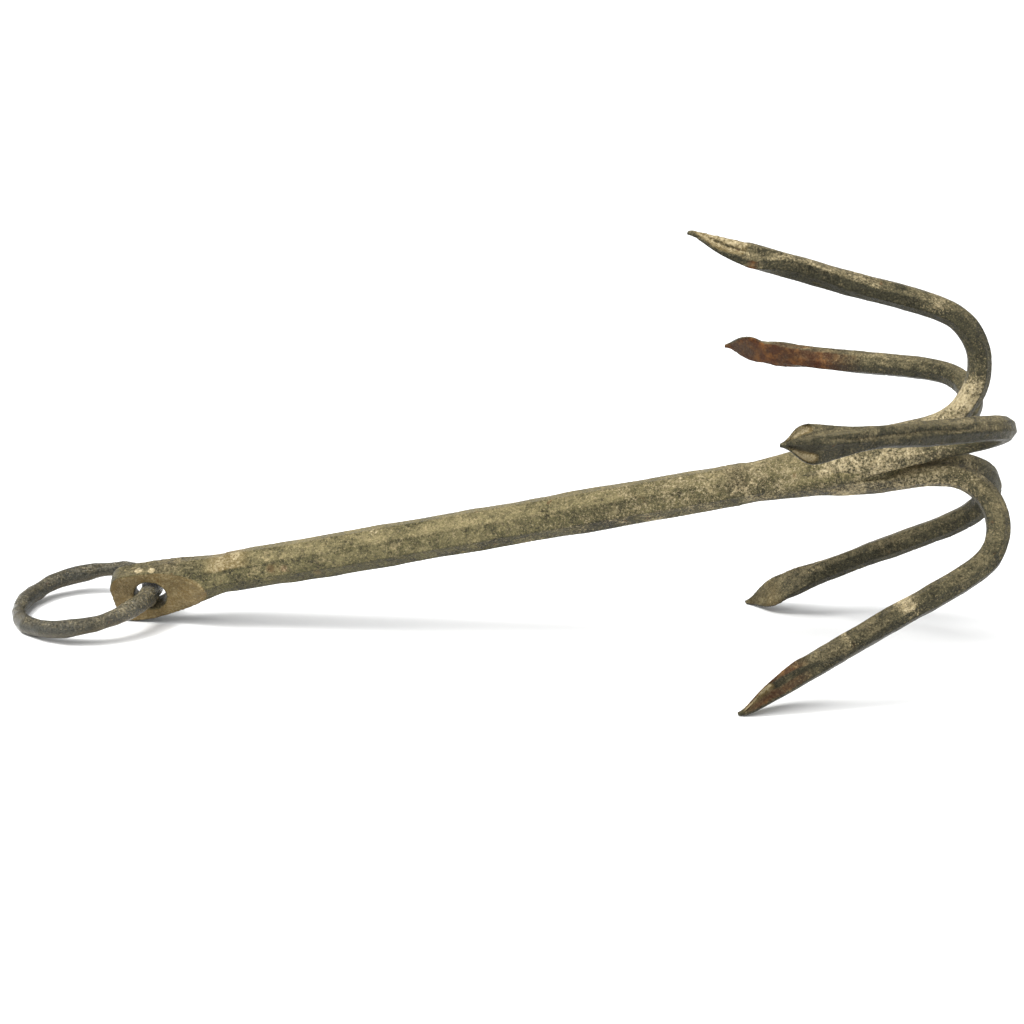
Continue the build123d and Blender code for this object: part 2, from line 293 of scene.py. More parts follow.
def place_points(mesh, points):
    """Moves a mesh's points to new places."""
    mesh.vertices.foreach_set("co", points.astype(np.float32).ravel())
    mesh.update()


def move_out(mesh, amount):
    """Moves every point along its normal by its own amount."""
    place_points(mesh, read(mesh, "points") + read(mesh, "normals") * amount[:, None])


# %% [markdown]
# ## The smith's hammer, as Geometry Nodes
# Dents, scale pits and a fine tooth cover every piece, so they are one node tree with named
# sizes. Each dent is the bowl of one Voronoi cell, longer along the bar than across it. Pits
# come where a fine noise passes a limit, in groups that a coarse noise chooses. The tree
# stores how deep each point lies in a pit, which the material fills with dust later.

# %% The hammer tree
def node(tree, kind, place, **settings):
    """Adds a node, sets its properties and its unlinked inputs by name."""
    made = tree.nodes.new(kind)
    made.location = (place[0] * 180, place[1] * -160)
    for name, value in settings.items():
        if hasattr(made, name):
            setattr(made, name, value)
        else:
            made.inputs[name.replace("_", " ")].default_value = value
    return made


def math(tree, place, operation, first, second=0.0, third=0.0, clamp=False):
    """A Math node whose inputs are sockets or plain numbers."""
    made = node(tree, "ShaderNodeMath", place, operation=operation, use_clamp=clamp)
    for socket, value in zip(made.inputs, (first, second, third)):
        if isinstance(value, (int, float)):
            socket.default_value = value
        else:
            tree.links.new(value, socket)
    return made.outputs[0]


def hammer_tree():
    """Geometry Nodes that press dents and pits into a skin."""
    tree = bpy.data.node_groups.new("hammered_skin", "GeometryNodeTree")
    face = tree.interface
    face.new_socket("Geometry", in_out="INPUT", socket_type="NodeSocketGeometry")
    for name in ("Dent Size", "Dent Depth", "Pit Size", "Pit Depth", "Tooth", "Seed"):
        face.new_socket(name, in_out="INPUT", socket_type="NodeSocketFloat")
    face.new_socket("Finish", in_out="INPUT", socket_type="NodeSocketMaterial")
    face.new_socket("Geometry", in_out="OUTPUT", socket_type="NodeSocketGeometry")
    put = tree.links.new
    given = node(tree, "NodeGroupInput", (0, 0)).outputs
    where = node(tree, "GeometryNodeInputPosition", (0, 2)).outputs[0]
    shift = node(tree, "ShaderNodeCombineXYZ", (0, 3))
    for axis in range(3):
        put(given["Seed"], shift.inputs[axis])
    seeded = node(tree, "ShaderNodeVectorMath", (1, 2), operation="ADD")
    put(where, seeded.inputs[0])
    put(shift.outputs[0], seeded.inputs[1])
    long_way = node(tree, "ShaderNodeVectorMath", (2, 2), operation="MULTIPLY")
    long_way.inputs[1].default_value = (0.62, 1.0, 1.0)
    put(seeded.outputs[0], long_way.inputs[0])

    dents = node(tree, "ShaderNodeTexVoronoi", (3, 1), feature="SMOOTH_F1", Smoothness=0.35)
    put(long_way.outputs[0], dents.inputs["Vector"])
    put(math(tree, (2, 1), "DIVIDE", 1.0, given["Dent Size"]), dents.inputs["Scale"])
    bowl = math(tree, (4, 1), "POWER", dents.outputs["Distance"], 2.0)
    bowl = math(tree, (5, 1), "SUBTRACT", bowl, 0.22)
    pressed = math(tree, (6, 1), "MULTIPLY", bowl, given["Dent Depth"])

    fine = node(tree, "ShaderNodeTexNoise", (3, 3), Detail=3.0, Roughness=0.6)
    put(long_way.outputs[0], fine.inputs["Vector"])
    put(math(tree, (2, 3), "DIVIDE", 1.0, given["Pit Size"]), fine.inputs["Scale"])
    groups = node(tree, "ShaderNodeTexNoise", (3, 4), Scale=45.0, Detail=1.0)
    put(seeded.outputs[0], groups.inputs["Vector"])
    limit = math(tree, (4, 4), "MULTIPLY_ADD", groups.outputs[0], -0.35, 0.78)
    pit = math(tree, (5, 3), "SUBTRACT", fine.outputs[0], limit)
    pit = math(tree, (6, 3), "MULTIPLY", pit, 9.0, clamp=True)
    sunk = math(tree, (7, 3), "MULTIPLY", pit, given["Pit Depth"])

    tooth = node(tree, "ShaderNodeTexNoise", (3, 5), Scale=520.0, Detail=2.0)
    put(seeded.outputs[0], tooth.inputs["Vector"])
    grain = math(tree, (4, 5), "SUBTRACT", tooth.outputs[0], 0.5)
    grain = math(tree, (5, 5), "MULTIPLY", grain, given["Tooth"])

    total = math(tree, (8, 2), "SUBTRACT", pressed, sunk)
    total = math(tree, (9, 2), "ADD", total, grain)
    outward = node(tree, "GeometryNodeInputNormal", (8, 4)).outputs[0]
    push = node(tree, "ShaderNodeVectorMath", (10, 3), operation="SCALE")
    put(outward, push.inputs[0])
    put(total, push.inputs["Scale"])
    keep = node(tree, "GeometryNodeStoreNamedAttribute", (9, 0), Name="pit", domain="POINT")
    put(given["Geometry"], keep.inputs["Geometry"])
    put(pit, keep.inputs["Value"])
    shape = node(tree, "GeometryNodeSetPosition", (11, 0))
    put(keep.outputs[0], shape.inputs["Geometry"])
    put(push.outputs[0], shape.inputs["Offset"])
    smooth = node(tree, "GeometryNodeSetShadeSmooth", (12, 0))
    put(shape.outputs[0], smooth.inputs["Geometry"])
    real = node(tree, "GeometryNodeRealizeInstances", (13, 0))
    put(smooth.outputs[0], real.inputs[0])
    paint = node(tree, "GeometryNodeSetMaterial", (14, 0))
    put(real.outputs[0], paint.inputs["Geometry"])
    put(given["Finish"], paint.inputs["Material"])
    put(paint.outputs[0], node(tree, "NodeGroupOutput", (15, 0)).inputs[0])
    return tree


HAMMER = hammer_tree()
print("hammer inputs:", [s.name for s in HAMMER.interface.items_tree if s.in_out == "INPUT"])


def hammer(piece, finish, **sizes):
    """Presses the hammer tree into a piece, and returns it as a plain mesh."""
    strike = piece.modifiers.new("hammer", "NODES")
    strike.node_group = HAMMER
    sizes["Finish"] = finish
    for socket in HAMMER.interface.items_tree:
        if socket.in_out == "INPUT" and socket.name in sizes:
            strike[socket.identifier] = sizes[socket.name]
    name = piece.name.replace("_forged", "")
    return plain(piece, name)


# %% [markdown]
# ## Marks that belong to a place
# Each mark is one number per point, stored on the mesh: `crust` for the pale sandy coat,
# `ochre` for the smooth ochre film in hollows, `rust`, and `dark` for bare blue-grey iron.
# The hammer tree has already stored `pit`. Three more are measured: `up` is high on what
# looks up, `edge` on arrises and `hollow` in creases. The last two are found by comparing
# each point with the average of its neighbours, over several rings of them.

# %% Marks on a mesh
def ramp(value, start, end):
    """0 before start, 1 past end, smooth between. Start may be the larger."""
    share = np.clip((value - start) / (end - start), 0.0, 1.0)
    return share * share * (3 - 2 * share)


def band(value, start, end, soft):
    """1 between start and end, with soft edges."""
    return ramp(value, start - soft, start + soft) * ramp(value, end + soft, end - soft)


def store(mesh, name, values):
    """Writes one number per point as an attribute that a material can read."""
    mark = mesh.attributes.get(name) or mesh.attributes.new(name, "FLOAT", "POINT")
    mark.data.foreach_set("value", np.clip(values, 0.0, 1.0).astype(np.float32))


def neighbour_average(mesh, rings):
    """Every point averaged with its neighbours, several times over, and the cell size."""
    ends = np.empty(len(mesh.edges) * 2, np.int32)
    mesh.edges.foreach_get("vertices", ends)
    ends = ends.reshape(-1, 2)
    points = read(mesh, "points")
    size = np.linalg.norm(points[ends[:, 0]] - points[ends[:, 1]], axis=1).mean()
    count = np.bincount(ends.ravel(), minlength=len(points))[:, None]
    average = points
    for _ in range(rings):
        total = np.zeros_like(average)
        for axis in range(3):
            total[:, axis] += np.bincount(ends[:, 0], average[ends[:, 1], axis], len(points))
            total[:, axis] += np.bincount(ends[:, 1], average[ends[:, 0], axis], len(points))
        average = total / count
    return average, size


def curvature(mesh, rings):
    """How far each point stands out of its neighbourhood, as a share of the cell size."""
    average, size = neighbour_average(mesh, rings)
    return ((read(mesh, "points") - average) * read(mesh, "normals")).sum(1) / size


def relax(mesh, mask, rings):
    """Softens the form where the mask is 1."""
    points = read(mesh, "points")
    average, _ = neighbour_average(mesh, rings)
    place_points(mesh, points + (average - points) * mask[:, None])


def measure_edges(mesh):
    """Stores edge, hollow and up on a finished piece."""
    bend = curvature(mesh, 6)
    middle = np.median(bend)
    spread = np.percentile(abs(bend - middle), 80) + 1e-9
    store(mesh, "edge", (bend - middle) / spread * 0.5)
    store(mesh, "hollow", (middle - bend) / spread * 0.5)
    store(mesh, "up", read(mesh, "normals")[:, 2] * 0.5 + 0.5)


# %% [markdown]
# ## The iron's finish
# One shader node group makes the whole of the old skin, because every piece shares it: a
# brown-olive patina that clouds at three scales, with painted light that makes it lighter
# on what looks up and darker on what looks down, dust that lies in pits and on what looks
# up, a sandy crust of single grains, an ochre film, rust, and arrises rubbed to blue-grey
# iron. It puts out only a colour, a roughness, a metallic mask and a height. Each material
# keeps its own Principled BSDF and its own amounts.

# %% The patina group
def mix(tree, place, factor, first, second):
    """A colour Mix node whose inputs are sockets or colours."""
    made = node(tree, "ShaderNodeMix", place, data_type="RGBA")
    for socket, value in zip((made.inputs[0], made.inputs[6], made.inputs[7]),
                             (factor, first, second)):
        if isinstance(value, (int, float, tuple)):
            socket.default_value = value
        else:
            tree.links.new(value, socket)
    return made.outputs[2]


def noise(tree, place, vector, size, detail=3.0, roughness=0.55):
    """Noise whose features are about size metres across."""
    made = node(tree, "ShaderNodeTexNoise", place, Scale=1.0 / size, Detail=detail,
                Roughness=roughness)
    tree.links.new(vector, made.inputs["Vector"])
    return made.outputs[0]


def stretch(tree, place, value, low, high):
    """Maps low..high to 0..1 and clamps."""
    made = node(tree, "ShaderNodeMapRange", place, From_Min=low, From_Max=high)
    tree.links.new(value, made.inputs[0])
    return made.outputs[0]


MARKS = ("Crust", "Ochre", "Rust", "Dark", "Edge", "Hollow", "Up", "Pit")
COLOURS = {
    "Patina": (0.158, 0.138, 0.055, 1),
    "Deep": (0.013, 0.012, 0.005, 1),
    "Dust": (0.375, 0.300, 0.158, 1),
    "Bare": (0.042, 0.040, 0.026, 1),
}
RUST_RED = (0.070, 0.021, 0.006, 1)
RUST_ORANGE = (0.180, 0.066, 0.014, 1)
OCHRE = (0.160, 0.108, 0.032, 1)
CREAM = (0.680, 0.570, 0.360, 1)


def patina_group():
    """The shared skin of old forged iron."""
    tree = bpy.data.node_groups.new("old_iron_skin", "ShaderNodeTree")
    face = tree.interface
    face.new_socket("Vector", in_out="INPUT", socket_type="NodeSocketVector")
    for name in MARKS + ("Dust Amount", "Crust Amount", "Gloss"):
        face.new_socket(name, in_out="INPUT", socket_type="NodeSocketFloat")
    for name in COLOURS:
        face.new_socket(name, in_out="INPUT", socket_type="NodeSocketColor")
    face.new_socket("Color", in_out="OUTPUT", socket_type="NodeSocketColor")
    for name in ("Roughness", "Metallic", "Height"):
        face.new_socket(name, in_out="OUTPUT", socket_type="NodeSocketFloat")
    put = tree.links.new
    given = node(tree, "NodeGroupInput", (0, 0)).outputs
    vector = given["Vector"]

    # Patina: clouds, mottle and grain, from large to small, and painted light: the Up term makes
    # upper faces lighter and lower faces darker.
    clouds = stretch(tree, (2, 0), noise(tree, (1, 0), vector, 0.024, 4.0), 0.36, 0.64)
    mottle = stretch(tree, (2, 1), noise(tree, (1, 1), vector, 0.0058, 5.0, 0.68), 0.36, 0.64)
    grain = stretch(tree, (2, 2), noise(tree, (1, 2), vector, 0.0013, 3.0, 0.85), 0.40, 0.60)
    tone_and_painted_light = math(tree, (3, 0), "MULTIPLY_ADD", mottle, 0.42, -0.34)
    tone_and_painted_light = math(tree, (4, 0), "MULTIPLY_ADD", clouds, 0.30, tone_and_painted_light)
    tone_and_painted_light = math(tree, (5, 0), "MULTIPLY_ADD", grain, 0.46, tone_and_painted_light)
    # Painted light: upper faces mix towards Patina and lower faces towards Deep.
    tone_and_painted_light = math(tree, (6, 0), "MULTIPLY_ADD", given["Up"], 0.50, tone_and_painted_light, clamp=True)
    colour = mix(tree, (7, 0), tone_and_painted_light, given["Deep"], given["Patina"])

    # Bare iron: arrises, and wherever the piece is rubbed.
    bare_mask = math(tree, (5, 2), "MULTIPLY", given["Edge"], math(
        tree, (4, 2), "MULTIPLY_ADD", mottle, 0.5, 0.0), clamp=True)
    bare_mask = math(tree, (6, 2), "MAXIMUM", bare_mask, math(
        tree, (5, 3), "MULTIPLY", given["Dark"], math(
            tree, (4, 3), "MULTIPLY_ADD", clouds, 0.6, 0.4)))
    bare = mix(tree, (6, 1), grain, given["Deep"], given["Bare"])
    colour = mix(tree, (8, 0), bare_mask, colour, bare)

    # Salt and pepper: single grains of dust and single dark pits.
    salt = stretch(tree, (2, 7), noise(tree, (1, 7), vector, 0.0011, 2.0, 0.7), 0.56, 0.68)
    share = math(tree, (1, 8), "MULTIPLY_ADD", given["Up"], 0.35, 0.26)
    share = math(tree, (2, 8), "MULTIPLY_ADD", given["Crust"], 0.70, share)
    share = math(tree, (3, 8), "MULTIPLY_ADD", given["Dark"], -0.30, share, clamp=True)
    salt = math(tree, (4, 7), "MULTIPLY", salt, share)
    pepper = stretch(tree, (2, 9), noise(tree, (1, 9), vector, 0.0019, 3.0, 0.75), 0.46, 0.34)
    pepper = math(tree, (3, 9), "MULTIPLY", pepper, 0.75)
    colour = mix(tree, (8, -1), salt, colour, given["Dust"])
    colour = mix(tree, (8, -2), pepper, colour, given["Deep"])

    # Dust: on what looks up, in creases and in pits.
    lies = math(tree, (5, 4), "MULTIPLY_ADD", given["Up"], 0.75, -0.72)
    lies = math(tree, (6, 4), "MULTIPLY_ADD", given["Hollow"], 0.25, lies)
    lies = math(tree, (7, 4), "MULTIPLY_ADD", given["Pit"], 0.35, lies)
    lies = math(tree, (8, 4), "MULTIPLY_ADD", mottle, 0.30, lies)
    lies = math(tree, (9, 4), "MULTIPLY_ADD", clouds, 0.25, lies)
    lies = math(tree, (10, 4), "MULTIPLY", lies, given["Dust Amount"], clamp=True)
    lies = math(tree, (11, 4), "MULTIPLY", lies, math(
        tree, (10, 5), "MULTIPLY_ADD", grain, 1.1, 0.20), clamp=True)
    colour = mix(tree, (9, 0), lies, colour, given["Dust"])

    # Ochre film in hollows and on the eye's dressed faces.
    ochre = mix(tree, (8, 1), math(tree, (7, 1), "MULTIPLY", grain, mottle), OCHRE,
                given["Dust"])
    film = math(tree, (8, 2), "MULTIPLY", given["Ochre"], math(
        tree, (7, 2), "MULTIPLY_ADD", clouds, 0.45, 0.62), clamp=True)
    colour = mix(tree, (10, 0), film, colour, ochre)

    # Sandy crust: clumps of grains that grow together where the crust mark is high.
    speck = noise(tree, (1, 3), vector, 0.0017, 4.0, 0.85)
    patches = noise(tree, (1, 4), vector, 0.012, 3.0, 0.6)
    limit = math(tree, (8, 6), "MULTIPLY_ADD", given["Crust"], -0.36, 0.95)
    limit = math(tree, (9, 6), "MULTIPLY_ADD", patches, -0.50, limit)
    coat = math(tree, (10, 6), "SUBTRACT", speck, limit)
    coat = math(tree, (11, 6), "MULTIPLY", coat, 7.0, clamp=True)
    coat = math(tree, (12, 6), "MULTIPLY", coat, given["Crust Amount"], clamp=True)
    grains = mix(tree, (12, 1), math(tree, (11, 1), "MULTIPLY", coat, grain), given["Dust"],
                 CREAM)
    colour = mix(tree, (13, 0), coat, colour, grains)

    # Rust: where the rust mark says, and in a few freckles anywhere.
    red = mix(tree, (13, 2), stretch(tree, (12, 2), mottle, 0.45, 1.0), RUST_RED, RUST_ORANGE)
    rusty = math(tree, (12, 3), "MULTIPLY_ADD", clouds, 0.5, 0.50)
    rusty = math(tree, (13, 3), "MULTIPLY", rusty, given["Rust"], clamp=True)
    freckle = stretch(tree, (12, 5), noise(tree, (11, 5), vector, 0.0070, 2.0), 0.69, 0.76)
    rusty = math(tree, (14, 3), "MULTIPLY_ADD", freckle, 0.40, rusty, clamp=True)
    colour = mix(tree, (14, 0), rusty, colour, red)

    rough = math(tree, (14, 5), "MULTIPLY_ADD", mottle, 0.16, 0.34)
    rough = math(tree, (15, 5), "MULTIPLY_ADD", lies, 0.35, rough)
    rough = math(tree, (16, 5), "MULTIPLY_ADD", coat, 0.30, rough)
    rough = math(tree, (17, 5), "MULTIPLY_ADD", rusty, 0.40, rough)
    rough = math(tree, (18, 5), "MULTIPLY_ADD", bare_mask, -0.08, rough)
    rough = math(tree, (19, 5), "SUBTRACT", rough, given["Gloss"], clamp=True)
    metal = math(tree, (14, 6), "MULTIPLY_ADD", bare_mask, 0.55, 0.10)
    metal = math(tree, (15, 6), "SUBTRACT", metal, lies, clamp=True)
    height = math(tree, (15, 7), "MULTIPLY_ADD", coat, 0.50, math(
        tree, (14, 7), "MULTIPLY_ADD", mottle, 0.45, math(
            tree, (13, 7), "MULTIPLY_ADD", grain, 0.45, math(
                tree, (12, 7), "MULTIPLY", pepper, -0.7))))
    out = node(tree, "NodeGroupOutput", (20, 0))
    put(colour, out.inputs["Color"])
    put(rough, out.inputs["Roughness"])
    put(metal, out.inputs["Metallic"])
    put(height, out.inputs["Height"])
    return tree


PATINA = patina_group()
print("patina nodes:", len(PATINA.nodes))

# %% [markdown]
# ## Three irons
# The shank, the arms and the ring are the same iron with different lives. The shank lay in
# the dust and is the palest; the arms were handled more and are darker; the ring was rubbed
# by rope and is the darkest and the shiniest. So each is a material of its own, around the
# same group, and reads the marks that are stored on the mesh.

# %% A material around the group
BUMP_STRENGTH = 0.9


def iron(name, dust, crust, bump, shine=0.26, gloss=0.0, **colours):
    """Old iron with its own amounts of dust, crust and shine, and its own relief in metres."""
    material = bpy.data.materials.new(name)
    material.use_nodes = True
    tree = material.node_tree
    shader = tree.nodes["Principled BSDF"]
    skin = node(tree, "ShaderNodeGroup", (-3, 0), node_tree=PATINA)
    where = node(tree, "ShaderNodeTexCoord", (-5, 0))
    tree.links.new(where.outputs["Object"], skin.inputs["Vector"])
    for row, mark in enumerate(MARKS):
        reader = node(tree, "ShaderNodeAttribute", (-5, row + 1), attribute_name=mark.lower())
        tree.links.new(reader.outputs["Fac"], skin.inputs[mark])
    skin.inputs["Dust Amount"].default_value = dust
    skin.inputs["Crust Amount"].default_value = crust
    skin.inputs["Gloss"].default_value = gloss
    for colour, value in {**COLOURS, **colours}.items():
        skin.inputs[colour].default_value = value
    shader.inputs["Specular IOR Level"].default_value = shine
    relief = node(tree, "ShaderNodeBump", (-1, 2), Strength=BUMP_STRENGTH, Distance=bump)
    tree.links.new(skin.outputs["Height"], relief.inputs["Height"])
    tree.links.new(relief.outputs["Normal"], shader.inputs["Normal"])
    tree.links.new(skin.outputs["Color"], shader.inputs["Base Color"])
    tree.links.new(skin.outputs["Roughness"], shader.inputs["Roughness"])
    tree.links.new(skin.outputs["Metallic"], shader.inputs["Metallic"])
    return material


SHANK_IRON = iron("shank_iron", dust=1.0, crust=0.9, bump=0.0008)
ARM_IRON = iron("arm_iron", dust=0.8, crust=0.85, bump=0.0007,
                Patina=(0.088, 0.078, 0.036, 1))
RING_IRON = iron("ring_iron", dust=0.45, crust=0.7, bump=0.0005, shine=0.55, gloss=0.22,
                 Patina=(0.062, 0.057, 0.035, 1), Bare=(0.034, 0.035, 0.028, 1))
print("irons:", SHANK_IRON.name, ARM_IRON.name, RING_IRON.name)

# %% [markdown]
# ## Marks placed one by one
# The large marks of the real anchor are in known places, so they are placed like a painter's
# dabs. A dab is a mark on one side of a piece, between two distances along it, in
# millimetres: from the hole on the shank, and from the bill on an arm. Its side is a
# direction to look from: -Y is the near side and Z is up. A spot is a round mark on the
# shank. It has a distance from the hole, a clock angle in degrees, a distance from the
# bar's middle line and a size, in millimetres. One cream crust spot, on the lap at 369 mm,
# is a painted highlight that stands in for a glint.

# %% Dabs
Dab = namedtuple("Dab", "node mark start end soft strength side")
DABS = [
    Dab("shank", "ochre", 40, 62, 6, 1.0, (0.0, -0.1, 1.0)),
    Dab("shank", "crust", 40, 62, 7, 0.6, (0.0, -0.1, 1.0)),
    Dab("shank", "dark", 265, 295, 9, 0.9, (0.0, -0.6, -0.8)),
    Dab("shank", "dark", 352, 372, 7, 0.8, (0.0, -0.8, 0.5)),
    Dab("far_upper_arm", "rust", -5, 28, 5, 1.0, (0.0, -1.0, 0.0)),
    Dab("far_upper_arm", "rust", 22, 84, 16, 1.0, (0.0, -1.0, 0.12)),
    Dab("far_upper_arm", "crust", 92, 118, 8, 0.5, (0.0, 0.0, 1.0)),
    Dab("far_lower_arm", "ochre", 2, 26, 6, 0.5, (0.0, -1.0, 0.2)),
    Dab("far_lower_arm", "dark", 34, 110, 8, 0.9, (0.0, -0.8, 0.6)),
    Dab("near_lower_arm", "rust", 8, 46, 7, 0.8, (-0.6, -0.4, 0.7)),
    Dab("near_lower_arm", "crust", 73, 78, 4, 0.9, (-0.3, -0.3, 1.0)),
    Dab("near_lower_arm", "crust", 110, 122, 5, 0.95, (-0.2, -0.6, 0.9)),
    Dab("near_lower_arm", "dark", 50, 120, 20, 0.6, (0.0, -0.7, 0.4)),
    Dab("top_arm", "rust", 38, 43, 2, 0.9, (0.0, -0.7, -1.0)),
    Dab("top_arm", "crust", 30, 120, 12, 0.50, (0.0, -0.2, 1.0)),
    Dab("top_arm", "crust", 140, 160, 8, 0.60, (0.2, -0.6, 0.8)),
    Dab("top_arm", "crust", 205, 245, 10, 0.8, (-0.4, -0.6, 0.7)),
    Dab("top_arm", "dark", 60, 140, 10, 0.7, (0.0, -0.9, -0.5)),
    Dab("near_upper_arm", "crust", 46, 58, 8, 0.22, (0.0, -1.0, 0.2)),
    Dab("near_upper_arm", "crust", 110, 165, 14, 0.45, (0.0, -0.1, 1.0)),
    Dab("near_upper_arm", "dark", 40, 150, 8, 0.7, (0.0, -1.0, -0.3)),
]
Spot = namedtuple("Spot", "mark along clock radius size strength")
SPOTS = [
    Spot("crust", -3, -25, 15.5, 3.4, 2.0),
    Spot("crust", 5, -32, 15.0, 2.8, 2.0),
    Spot("rust", 77, -80, 12, 3.4, 0.40),
    Spot("ochre", 80, -84, 12, 5.0, 0.28),
    Spot("rust", 85, -86, 12, 2.8, 0.45),
    Spot("crust", 85, -84, 12, 3.6, 0.75),
    Spot("dark", 85, -86, 12, 1.4, 1.0),
    Spot("ochre", 104, -118, 12, 3.6, 0.45),
    Spot("rust", 104, -118, 12, 2.6, 0.15),
    Spot("crust", 142, -20, 12, 4.0, 0.8),
    # Painted highlight: this cream crust spot stands in for a glint on the lap.
    Spot("crust", 369, -70, 14, 2.8, 2.0),
    Spot("dark", 362, -72, 13, 5.0, 1.0),
    Spot("dark", 376, -66, 14, 5.0, 1.0),
]
DAB_SIDE = (0.25, 0.75)      # how squarely the skin has to face a dab's side, from none to all
print("dabs:", len(DABS), "spots:", len(SPOTS))


def place_spots(marks, points):
    """Adds the round spots on the shank to its marks."""
    for spot in SPOTS:
        centre = shank_start + along_shank * spot.along * MM
        centre = centre + clock_direction(radians(spot.clock)) * spot.radius * MM
        far = np.linalg.norm(points - centre, axis=1) / MM
        cover = ramp(far, spot.size, spot.size * 0.5)
        marks[spot.mark] = marks[spot.mark] + spot.strength * cover


def place_dabs(name, marks, travel, normals):
    """Adds a piece's dabs to its marks. Travel is in metres along the piece."""
    for dab in DABS:
        if dab.node == name:
            side = np.array(dab.side) / np.linalg.norm(dab.side)
            reach = band(travel / MM, dab.start, dab.end, dab.soft)
            facing = ramp(normals @ side, *DAB_SIDE)
            marks[dab.mark] = marks[dab.mark] + dab.strength * reach * facing


# %% [markdown]
# ## Weld metal
# At the crown the five roots were hammered hot into one lump, and the metal they squeezed
# out fills the grooves between them. The CAD leaves the grooves open. So a lump of rings of
# points is added to the shank before its remesh, which joins the two into one skin. It is a
# little fuller between the two near arms.

# %% Weld
WELD = [(352, 10.0), (362, 11.6), (380, 12.4), (405, 14.2), (430, 16.2), (447, 15.8),
        (458, 12.5), (464, 6.0)]     # distance from the hole and radius, in millimetres
WELD_SIDES = 48
WELD_BULGE = 2.6             # millimetres more between the two near arms
BULGE_SPAN = (390, 452)      # from the hole, in millimetres
BULGE_CLOCK = radians(257)
BULGE_SPREAD = radians(17)


def weld_metal(shell):
    """Adds the metal that the forge weld squeezed into the grooves between the roots."""
    hoops = []
    for station, radius in WELD:
        hoop = []
        for step in range(WELD_SIDES):
            angle = 2 * pi * step / WELD_SIDES
            out = radius + 0.5 * sin(3 * angle + station * 0.07)
            out += 0.4 * sin(5 * angle - station * 0.11)
            if BULGE_SPAN[0] < station < BULGE_SPAN[1]:
                out += WELD_BULGE * exp(-((angle - BULGE_CLOCK) / BULGE_SPREAD) ** 2)
            spot = shank_start + along_shank * station * MM + clock_direction(angle) * out * MM
            hoop.append(shell.verts.new(spot))
        hoops.append(hoop)
    for first, second in zip(hoops, hoops[1:]):
        for step in range(WELD_SIDES):
            shell.faces.new((first[step - 1], first[step], second[step], second[step - 1]))
    shell.faces.new(hoops[0])
    shell.faces.new(hoops[-1])
    bmesh.ops.recalc_face_normals(shell, faces=shell.faces)


print("weld, mm from the hole:", WELD[0][0], "to", WELD[-1][0])

# %% [markdown]
# ## The shank
# The bar was drawn by eye, so it swells and thins by half a millimetre and its arrises
# wander. The two faces of the eye stay flat, because they were dressed on the anvil, and the
# neck behind them is softened. The crust thickens towards the crown, where the anchor lay
# in the sand.

# %% Shank
SHANK_CELL = 0.8 * MM
EYE_HALF_HEIGHT = 16.5 * MM
EYE_OVAL = 35 * MM           # the dressed face ends in a rounded point this far from the hole
NECK = (42 * MM, 84 * MM)    # the softened stretch, from the hole
NECK_ROUNDS = 60


def wander(values, wavelength, seed):
    """A slow, smooth wave along a piece, between -1 and 1."""
    phase = values / wavelength * 2 * pi
    return (np.sin(phase + seed) + 0.6 * np.sin(phase * 1.9 + seed * 2.3)
            + 0.4 * np.sin(phase * 3.1 + seed * 3.7)) / 2.0


shank = blank_of("shank", SHANK_CELL, 1, weld_metal)
points = read(shank.data, "points")
offset = points - shank_start
along = offset @ along_shank
clock = np.arctan2(offset @ clock_quarter, offset @ clock_zero)
on_bar = ramp(along, 40 * MM, 90 * MM)
swell = 0.25 * wander(along, 130 * MM, 1.0) + 0.20 * wander(along + 0.02 * clock, 60 * MM, 4.0)
move_out(shank.data, swell * on_bar * MM)
under = ramp(-read(shank.data, "normals")[:, 2], -0.2, 0.4)
relax(shank.data, band(along, *NECK, 8 * MM) * under, NECK_ROUNDS)
shank = hammer(shank, SHANK_IRON, **{
    "Dent Size": 0.016, "Dent Depth": 0.0006, "Pit Size": 0.0045, "Pit Depth": 0.0004,
    "Tooth": 0.00022, "Seed": 0.31})

points = read(shank.data, "points")
normals = read(shank.data, "normals")
along = (points - shank_start) @ along_shank
faces_eye = abs(normals @ eye_normal)
eye_oval = np.clip(1 - (np.maximum(along, 0) / EYE_OVAL) ** 2, 0, 1)
eye_height = EYE_HALF_HEIGHT * np.sqrt(eye_oval)
above_hole = abs((points - hole) @ eye_up)
eye_face = ramp(eye_height - above_hole, -0.8 * MM, 0.5 * MM) * ramp(faces_eye, 0.75, 0.92)
eye_face *= along < EYE_OVAL
eye_rim = ramp(along, 46 * MM, 24 * MM) * ramp(faces_eye, 0.80, 0.55)
shank_marks = {"crust": 0.06 + 0.50 * ramp(along, 90 * MM, 360 * MM),
               "ochre": eye_face, "rust": 0.12 * eye_face, "dark": 1.0 * eye_rim}
place_dabs("shank", shank_marks, along, normals)
place_spots(shank_marks, points)
for name, values in shank_marks.items():
    store(shank.data, name, values)
measure_edges(shank.data)
print("shank:", len(shank.data.polygons), "cells")

# %% [markdown]
# ## Laps and palms
# Where the smith folded a bar over, a thin dark line is left along it: a lap. Each palm was
# hollowed on its outer side with a round-faced hammer. Most have a rib between two troughs,
# and the top one is a single trough. Both follow the arm's own measures, so they are worked
# out as numbers from 0 to 1, which then press the shape and choose the finish.

